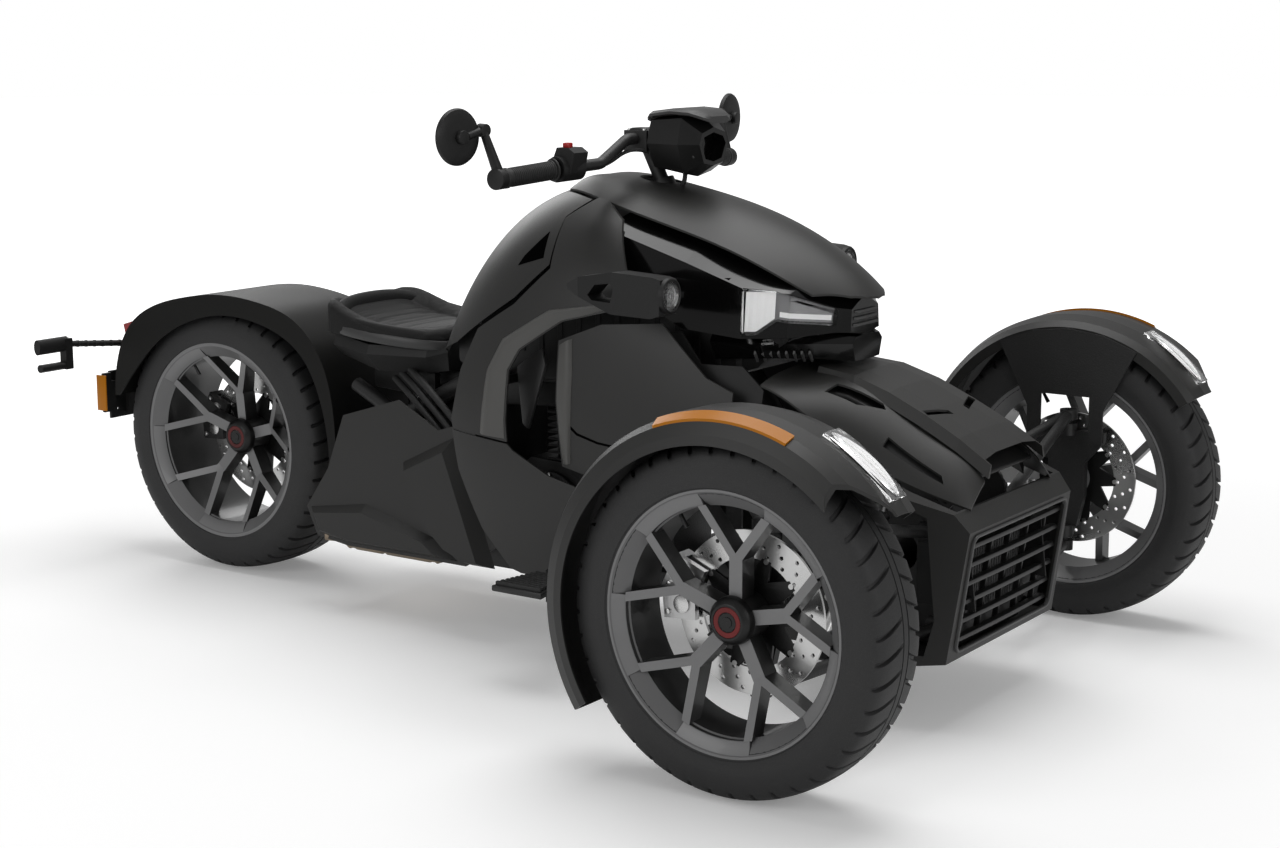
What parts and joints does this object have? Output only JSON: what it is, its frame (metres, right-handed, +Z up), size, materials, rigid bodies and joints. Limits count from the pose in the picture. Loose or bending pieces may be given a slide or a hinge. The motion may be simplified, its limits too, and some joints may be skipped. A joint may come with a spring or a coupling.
{
  "type": "three-wheeled motorcycle",
  "caption": "Low three-wheeled motorcycle with two steered front wheels under turning fenders, one rear wheel, a saddle, a handlebar and matte dark body panels.",
  "frame": {"origin": "on the ground, at the bottom centre of the whole vehicle's box", "axes": "+X forward, +Y to the rider's left, +Z up"},
  "size_m": [2.352, 1.509, 1.0619],
  "materials": {
    "tyre_rubber": "matte black tyre rubber",
    "rim_paint": "satin dark grey paint on cast aluminium",
    "brake_steel": "ground steel brake disc",
    "caliper_paint": "black painted caliper",
    "cast_metal": "black coated castings and tubes",
    "frame_paint": "black powder coat",
    "body_plastic": "matte charcoal moulded body panel",
    "gloss_plastic": "gloss black moulded panel",
    "trim_plastic": "grained black plastic",
    "clear_lens": "clear lamp lens",
    "amber_lens": "amber lens",
    "red_lens": "red lens",
    "grip_rubber": "black rubber grip",
    "saddle_cover": "black grained saddle cover",
    "spring_steel": "black coated spring and damper",
    "muffler_steel": "heat-tinted steel muffler"
  },
  "bodies": {
    "chassis": {"engine_block": "cast_metal", "footrests": "frame_paint", "front_shocks": "spring_steel", "grille": "trim_plastic", "hood": "body_plastic", "inner_fairing": "trim_plastic", "lamp_chin": "gloss_plastic", "lamp_lenses": "clear_lens", "lamp_mask": "gloss_plastic", "lower_panels": "body_plastic", "main_frame": "frame_paint", "muffler": "muffler_steel", "nose_shroud": "body_plastic", "plate_bracket": "trim_plastic", "radiator": "trim_plastic", "rear_caliper": "caliper_paint", "rear_cowl": "body_plastic", "rear_fender": "body_plastic", "rear_indicators": "trim_plastic", "rear_shock": "spring_steel", "rear_side_covers": "body_plastic", "saddle": "saddle_cover", "saddle_pan": "trim_plastic", "side_covers": "body_plastic", "side_lamps": "trim_plastic", "side_panels": "body_plastic", "swingarm": "cast_metal", "tail_lamp": "red_lens", "top_cowl": "body_plastic", "wishbones": "cast_metal"},
    "knuckle_right": {"upright_right": "cast_metal", "caliper_right": "caliper_paint", "fender_right": "body_plastic", "fender_marker_right": "amber_lens", "fender_lamp_right": "clear_lens"},
    "wheel_front_right": {"front_tyre_right": "tyre_rubber", "front_rim_right": "rim_paint", "front_brake_disc_right": "brake_steel"},
    "knuckle_left": {"upright_left": "cast_metal", "caliper_left": "caliper_paint", "fender_left": "body_plastic", "fender_marker_left": "amber_lens", "fender_lamp_left": "clear_lens"},
    "wheel_front_left": {"front_tyre_left": "tyre_rubber", "front_rim_left": "rim_paint", "front_brake_disc_left": "brake_steel"},
    "wheel_rear": {"rear_tyre": "tyre_rubber", "rear_rim": "rim_paint", "rear_brake_disc": "brake_steel"},
    "bars": {"handlebar": "frame_paint", "grips": "grip_rubber", "switch_boxes": "trim_plastic", "instrument_pod": "trim_plastic", "mirrors": "trim_plastic"},
    "rack": {"steering_rack": "frame_paint"}
  },
  "joints": [
    {"name": "handlebar_turn", "type": "hinge", "parent": "chassis", "child": "bars", "pos_m": [0.262, 0, 0.968], "axis": [-0.454, 0, 0.891], "range_deg": [-30, 30]},
    {"name": "rack_slide", "type": "slide", "parent": "chassis", "child": "rack", "axis": [0, 1, 0], "range_m": [-0.058, 0.058]},
    {"name": "kingpin_right", "type": "hinge", "parent": "chassis", "child": "knuckle_right", "pos_m": [0.886, -0.6, 0.29], "axis": [0, 0, 1], "range_deg": [-30, 30]},
    {"name": "kingpin_left", "type": "hinge", "parent": "chassis", "child": "knuckle_left", "pos_m": [0.886, 0.6, 0.29], "axis": [0, 0, 1], "range_deg": [-30, 30]},
    {"name": "front_wheel_right_roll", "type": "hinge", "parent": "knuckle_right", "child": "wheel_front_right", "pos_m": [0.886, -0.66, 0.29], "axis": [0, 1, 0], "continuous": true},
    {"name": "front_wheel_left_roll", "type": "hinge", "parent": "knuckle_left", "child": "wheel_front_left", "pos_m": [0.886, 0.66, 0.29], "axis": [0, 1, 0], "continuous": true},
    {"name": "rear_wheel_roll", "type": "hinge", "parent": "chassis", "child": "wheel_rear", "pos_m": [-0.823, 0, 0.2955], "axis": [0, 1, 0], "continuous": true}
  ],
  "couplings": [
    {"joint": "kingpin_right", "follows": "handlebar_turn", "ratio": 1},
    {"joint": "kingpin_left", "follows": "handlebar_turn", "ratio": 1},
    {"joint": "rack_slide", "follows": "handlebar_turn", "m_per_rad": -0.1098}
  ]
}
